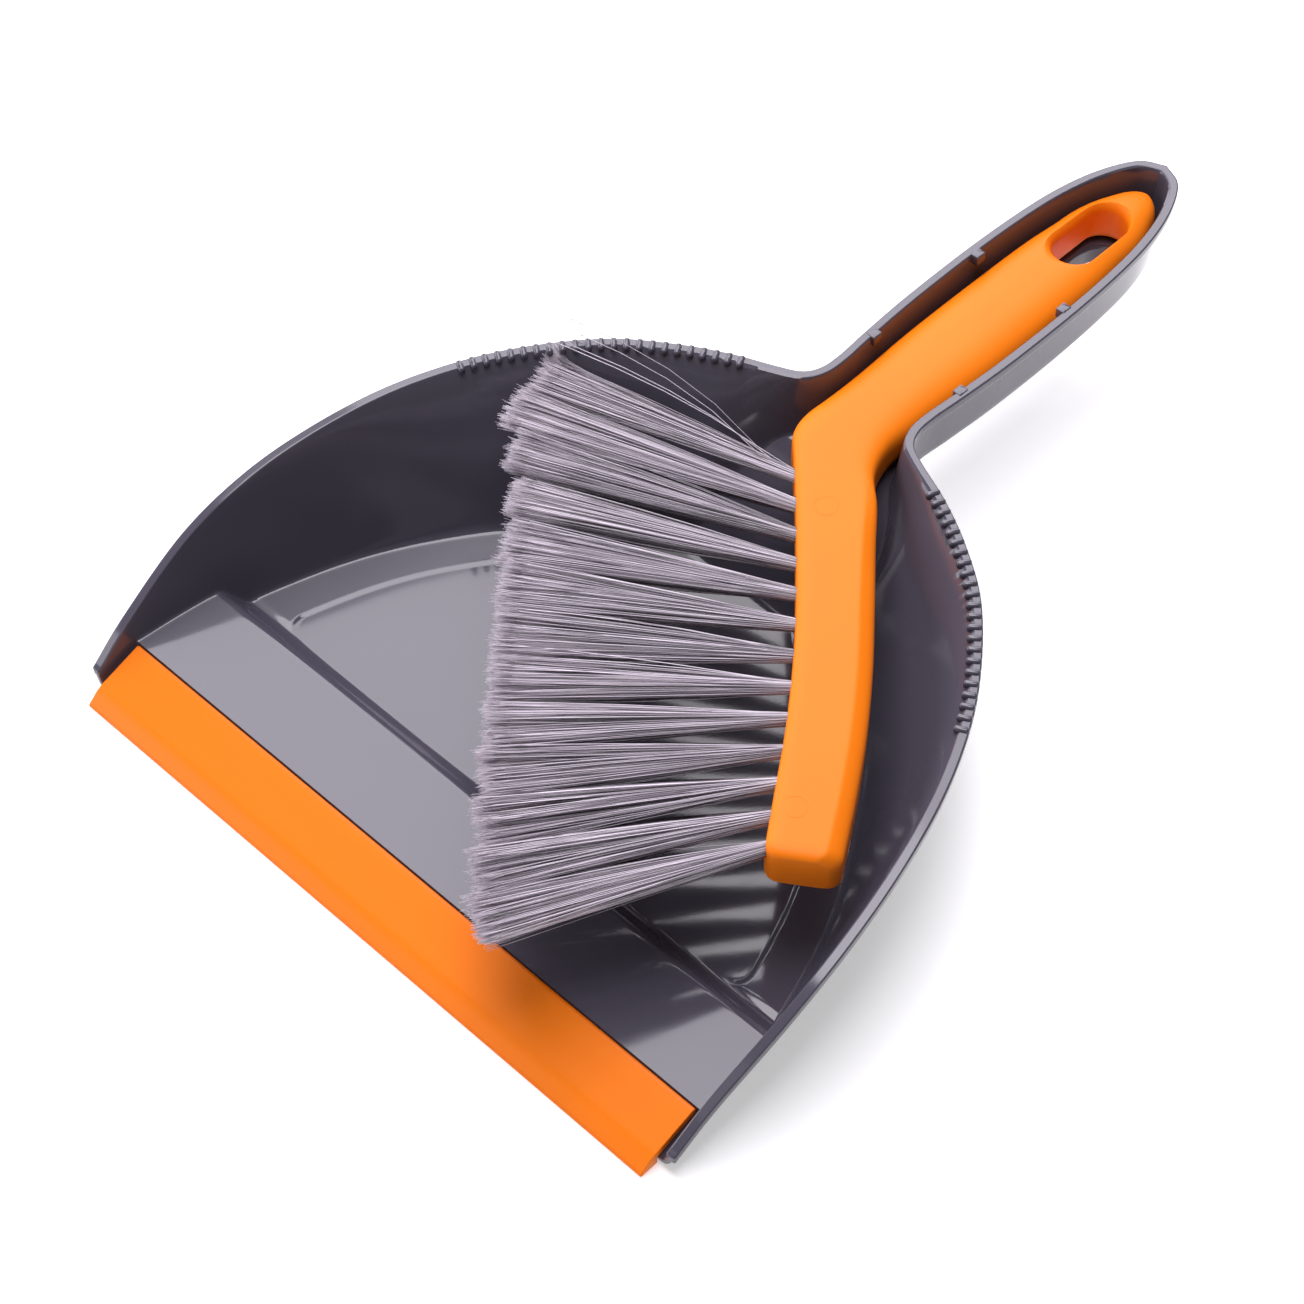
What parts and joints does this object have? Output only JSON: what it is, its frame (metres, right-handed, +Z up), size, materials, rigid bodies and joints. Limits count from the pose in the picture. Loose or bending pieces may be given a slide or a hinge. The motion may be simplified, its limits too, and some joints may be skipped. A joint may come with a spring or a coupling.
{
  "type": "dustpan and brush",
  "caption": "Dustpan with a soft front lip and rim comb, and an angled hand brush of staple-set tufts that clips into the pan's channel handle.",
  "frame": {"origin": "on the ground plane, at the middle of the overall length and width", "axes": "+Y from the front lip to the tip of the handle, +Z up, +X to the side that the brush block points to"},
  "size_m": [0.2278, 0.333, 0.0494],
  "materials": {
    "pan_plastic": "gloss, moulded polypropylene",
    "lip_rubber": "satin, soft thermoplastic elastomer",
    "brush_plastic": "satin, moulded polypropylene",
    "filament": "glossy monofilament with frayed tips",
    "anchor_wire": "bright drawn wire"
  },
  "bodies": {
    "pan_body": {"pan": "pan_plastic", "lip": "lip_rubber"},
    "brush": {"brush_body": "brush_plastic", "tuft_upper_01": "filament", "tuft_upper_02": "filament", "tuft_upper_03": "filament", "tuft_upper_04": "filament", "tuft_upper_05": "filament", "tuft_upper_06": "filament", "tuft_upper_07": "filament", "tuft_upper_08": "filament", "tuft_upper_09": "filament", "tuft_upper_10": "filament", "tuft_upper_11": "filament", "tuft_upper_12": "filament", "tuft_upper_13": "filament", "tuft_lower_01": "filament", "tuft_lower_02": "filament", "tuft_lower_03": "filament", "tuft_lower_04": "filament", "tuft_lower_05": "filament", "tuft_lower_06": "filament", "tuft_lower_07": "filament", "tuft_lower_08": "filament", "tuft_lower_09": "filament", "tuft_lower_10": "filament", "tuft_lower_11": "filament", "tuft_lower_12": "filament", "anchor_upper_01": "anchor_wire", "anchor_upper_02": "anchor_wire", "anchor_upper_03": "anchor_wire", "anchor_upper_04": "anchor_wire", "anchor_upper_05": "anchor_wire", "anchor_upper_06": "anchor_wire", "anchor_upper_07": "anchor_wire", "anchor_upper_08": "anchor_wire", "anchor_upper_09": "anchor_wire", "anchor_upper_10": "anchor_wire", "anchor_upper_11": "anchor_wire", "anchor_upper_12": "anchor_wire", "anchor_upper_13": "anchor_wire", "anchor_lower_01": "anchor_wire", "anchor_lower_02": "anchor_wire", "anchor_lower_03": "anchor_wire", "anchor_lower_04": "anchor_wire", "anchor_lower_05": "anchor_wire", "anchor_lower_06": "anchor_wire", "anchor_lower_07": "anchor_wire", "anchor_lower_08": "anchor_wire", "anchor_lower_09": "anchor_wire", "anchor_lower_10": "anchor_wire", "anchor_lower_11": "anchor_wire", "anchor_lower_12": "anchor_wire"}
  },
  "joints": [
    {"name": "brush_lift", "type": "slide", "parent": "pan_body", "child": "brush", "axis": [0, 0, 1], "range_m": [0, 0.08]}
  ]
}
